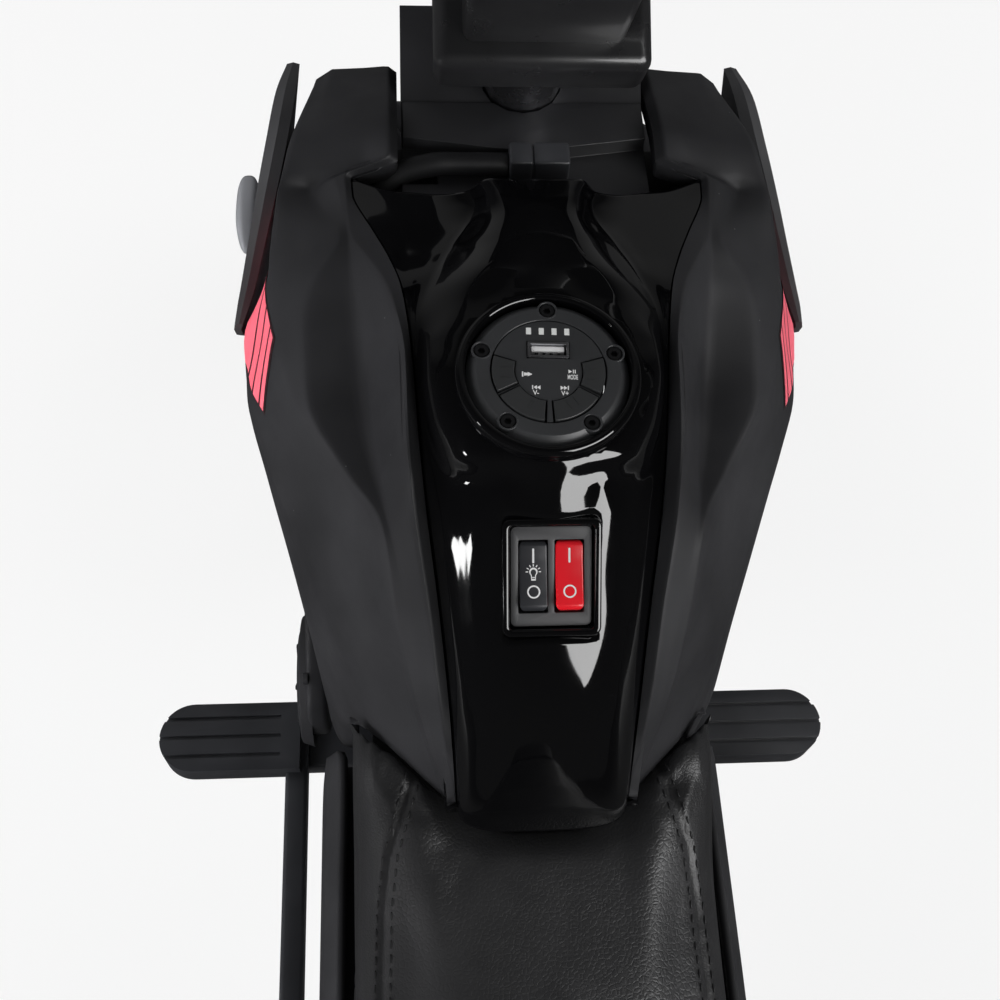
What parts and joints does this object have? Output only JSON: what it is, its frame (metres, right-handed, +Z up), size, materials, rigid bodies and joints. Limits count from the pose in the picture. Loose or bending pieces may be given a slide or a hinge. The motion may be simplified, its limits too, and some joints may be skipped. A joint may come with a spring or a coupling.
{
  "type": "kids ride-on motorcycle",
  "caption": "Child's battery ride-on motorcycle with matt black tank covers, a gloss console with a round control dial and a switch panel, a padded seat, footrests and side stabiliser wheels.",
  "frame": {"origin": "on the ground, under the middle of the bounding box", "axes": "+Y forward, +Z up, +X to the rider's right"},
  "size_m": [0.5194, 1.1082, 0.6643],
  "materials": {
    "matt_black_plastic": "matt, fine grain",
    "gloss_black_plastic": "high gloss",
    "dark_grey_plastic": "satin",
    "satin_silver_plastic": "satin silver paint",
    "plated_steel": "bright plating",
    "painted_steel": "black paint",
    "tyre_rubber": "matt",
    "black_leatherette": "pebble grain",
    "red_plastic": "semi-gloss red",
    "clear_lens": "clear",
    "white_nylon": "plain moulded"
  },
  "bodies": {
    "frame": {"chassis": "dark_grey_plastic", "swingarm": "painted_steel", "rear_axle": "plated_steel", "battery": "dark_grey_plastic", "control_box": "matt_black_plastic", "motor": "plated_steel", "gearbox_housing": "dark_grey_plastic", "tank_cover_left": "matt_black_plastic", "tank_cover_right": "matt_black_plastic", "console_panel": "gloss_black_plastic", "harness_clamp": "dark_grey_plastic", "harness_sleeve": "matt_black_plastic", "shroud_left": "dark_grey_plastic", "shroud_right": "dark_grey_plastic", "signal_pod_left": "satin_silver_plastic", "signal_pod_right": "satin_silver_plastic", "control_ring": "dark_grey_plastic", "control_face": "dark_grey_plastic", "usb_port": "plated_steel", "ring_screw_1": "painted_steel", "ring_screw_2": "painted_steel", "ring_screw_3": "painted_steel", "ring_screw_4": "painted_steel", "ring_screw_5": "painted_steel", "switch_bezel": "dark_grey_plastic", "seat_cushion": "black_leatherette", "seat_pan": "matt_black_plastic", "side_cover_left": "matt_black_plastic", "side_cover_right": "matt_black_plastic", "engine_cover_left": "matt_black_plastic", "engine_cover_right": "matt_black_plastic", "footrest_left": "dark_grey_plastic", "footrest_right": "dark_grey_plastic", "tail_cover": "matt_black_plastic", "tail_lamp": "red_plastic", "stabiliser_bracket_left": "painted_steel", "stabiliser_bracket_right": "painted_steel"},
    "steering": {"steering_stem": "plated_steel", "front_fork": "dark_grey_plastic", "front_fender": "matt_black_plastic", "handlebar": "painted_steel", "left_grip": "tyre_rubber", "headlight_shell": "matt_black_plastic", "headlight_lens": "clear_lens", "front_axle": "plated_steel"},
    "front_wheel": {"front_wheel_rim": "satin_silver_plastic", "front_tyre": "tyre_rubber"},
    "rear_wheel": {"rear_wheel_rim": "satin_silver_plastic", "rear_tyre": "tyre_rubber", "drive_gear": "white_nylon"},
    "motor_shaft": {"motor_pinion": "plated_steel"},
    "throttle": {"throttle_grip": "tyre_rubber"},
    "left_stabiliser_wheel": {"stabiliser_wheel_left": "tyre_rubber"},
    "right_stabiliser_wheel": {"stabiliser_wheel_right": "tyre_rubber"},
    "horn": {"horn_button": "dark_grey_plastic"},
    "mode": {"mode_button": "dark_grey_plastic"},
    "volume_down": {"volume_down_button": "dark_grey_plastic"},
    "volume_up": {"volume_up_button": "dark_grey_plastic"},
    "light_switch": {"light_rocker": "dark_grey_plastic"},
    "power_switch": {"power_rocker": "red_plastic"}
  },
  "joints": [
    {"name": "steering_turn", "type": "hinge", "parent": "frame", "child": "steering", "pos_m": [0, 0.4, 0.145], "axis": [0, -0.4384, 0.8988], "range_deg": [-35, 35]},
    {"name": "front_wheel_spin", "type": "hinge", "parent": "steering", "child": "front_wheel", "pos_m": [0, 0.4, 0.145], "axis": [1, 0, 0], "continuous": true},
    {"name": "rear_wheel_spin", "type": "hinge", "parent": "frame", "child": "rear_wheel", "pos_m": [0, -0.33, 0.145], "axis": [1, 0, 0], "continuous": true},
    {"name": "motor_spin", "type": "hinge", "parent": "frame", "child": "motor_shaft", "pos_m": [0, -0.32579, 0.19312], "axis": [1, 0, 0], "continuous": true},
    {"name": "throttle_turn", "type": "hinge", "parent": "steering", "child": "throttle", "pos_m": [0.161, 0.14384, 0.64519], "axis": [0.9579, -0.2865, 0.0179], "range_deg": [0, 60], "stiffness_Nm_per_rad": 0.25, "springref_deg": -22.92},
    {"name": "left_stabiliser_spin", "type": "hinge", "parent": "frame", "child": "left_stabiliser_wheel", "pos_m": [-0.186, -0.3, 0.065], "axis": [1, 0, 0], "continuous": true},
    {"name": "right_stabiliser_spin", "type": "hinge", "parent": "frame", "child": "right_stabiliser_wheel", "pos_m": [0.186, -0.3, 0.065], "axis": [1, 0, 0], "continuous": true},
    {"name": "horn_press", "type": "slide", "parent": "frame", "child": "horn", "axis": [0, 0.0523, -0.9986], "range_m": [0, 0.0012], "stiffness_N_per_m": 600, "springref_m": -0.001},
    {"name": "mode_press", "type": "slide", "parent": "frame", "child": "mode", "axis": [0, 0.0523, -0.9986], "range_m": [0, 0.0012], "stiffness_N_per_m": 600, "springref_m": -0.001},
    {"name": "volume_down_press", "type": "slide", "parent": "frame", "child": "volume_down", "axis": [0, 0.0523, -0.9986], "range_m": [0, 0.0012], "stiffness_N_per_m": 600, "springref_m": -0.001},
    {"name": "volume_up_press", "type": "slide", "parent": "frame", "child": "volume_up", "axis": [0, 0.0523, -0.9986], "range_m": [0, 0.0012], "stiffness_N_per_m": 600, "springref_m": -0.001},
    {"name": "light_switch_tip", "type": "hinge", "parent": "frame", "child": "light_switch", "pos_m": [-0.0058, 0.02672, 0.4867], "axis": [1, 0, 0], "range_deg": [0, 18]},
    {"name": "power_switch_tip", "type": "hinge", "parent": "frame", "child": "power_switch", "pos_m": [0.0058, 0.02672, 0.4867], "axis": [1, 0, 0], "range_deg": [0, 18]}
  ],
  "couplings": [
    {"joint": "motor_spin", "follows": "rear_wheel_spin", "ratio": -5}
  ]
}
